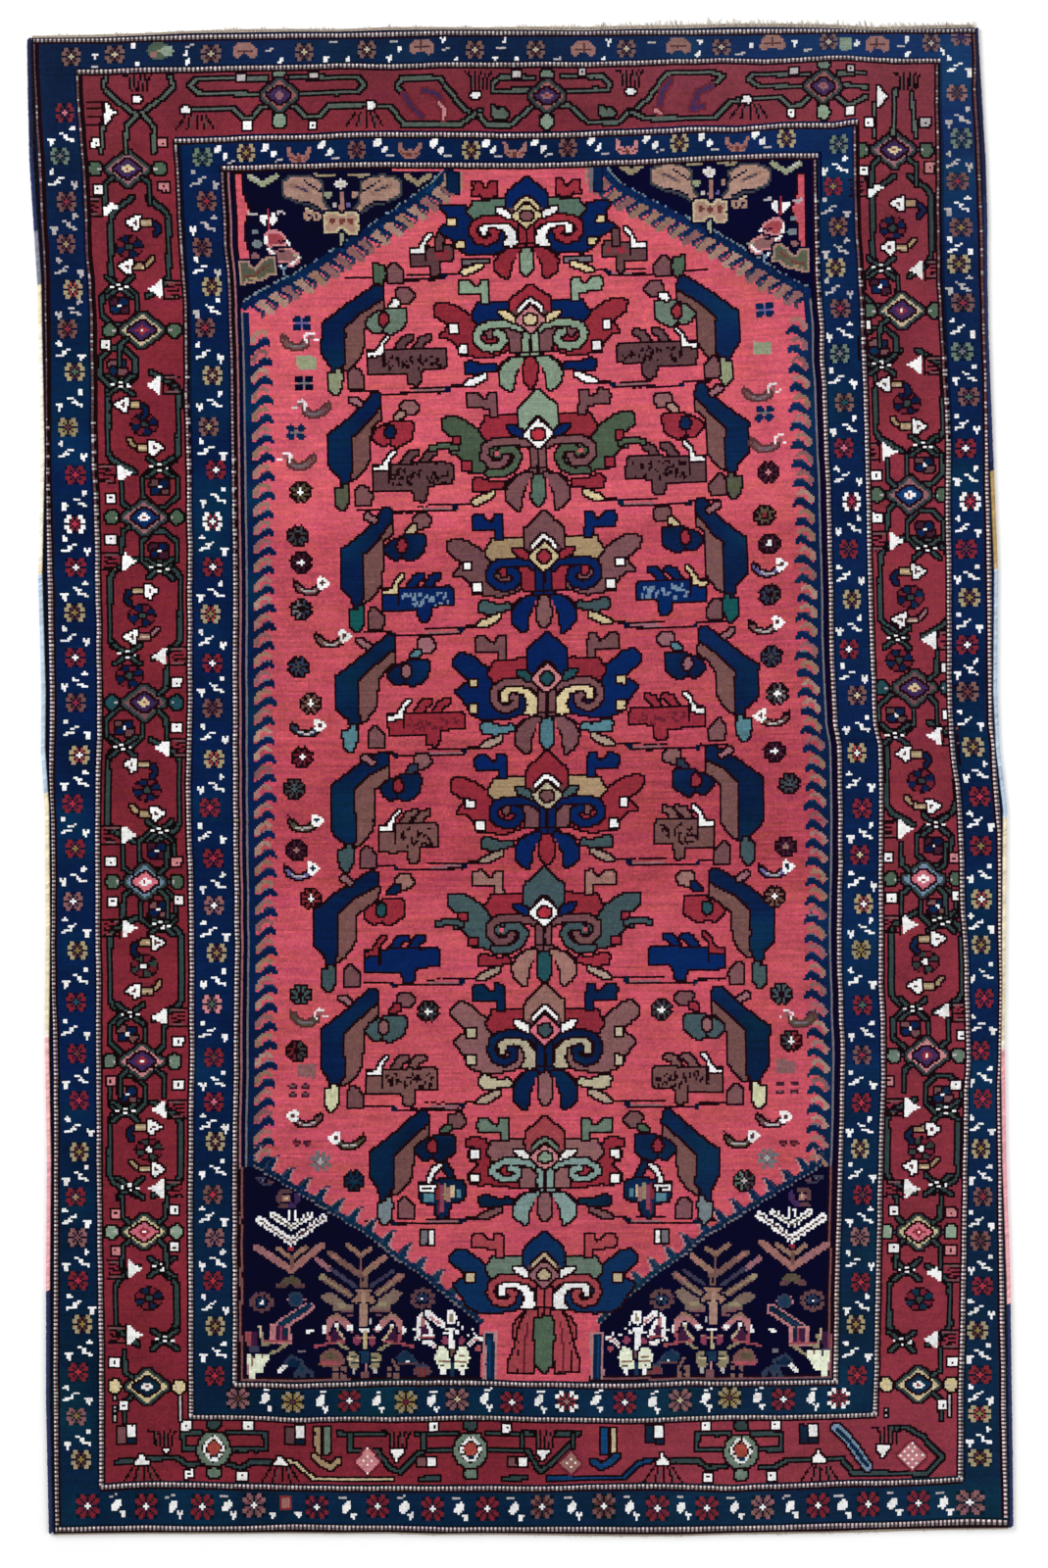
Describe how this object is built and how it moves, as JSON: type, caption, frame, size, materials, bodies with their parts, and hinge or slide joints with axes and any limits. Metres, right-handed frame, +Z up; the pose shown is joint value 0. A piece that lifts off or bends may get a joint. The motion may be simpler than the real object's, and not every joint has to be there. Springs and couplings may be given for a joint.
{
  "type": "persian rug",
  "caption": "Flat hand-knotted wool pile rug with bordered allover field, overcast side cords and short worn cotton fringes.",
  "frame": {"origin": "on the floor, at the middle of the footprint", "axes": "+Z up out of the pile, +Y along the rug's length towards the head (the picture's top), +X towards the picture's right"},
  "size_m": [1.3436, 2.0734, 0.008],
  "materials": {
    "pile": "knotted wool pile in madder red and indigo with ivory, camel, green and violet; each knot shows, short worn nap, soft sheen",
    "selvedge": "wool overcasting that changes colour along the side: navy, cream, light blue, cream, rose, navy",
    "warp_cotton": "undyed off-white cotton warp ends, matte and frayed"
  },
  "bodies": {
    "root": {"rug_body": "pile", "selvedge_left": "selvedge", "selvedge_right": "selvedge", "fringe_head": "warp_cotton", "fringe_foot": "warp_cotton"}
  },
  "joints": []
}
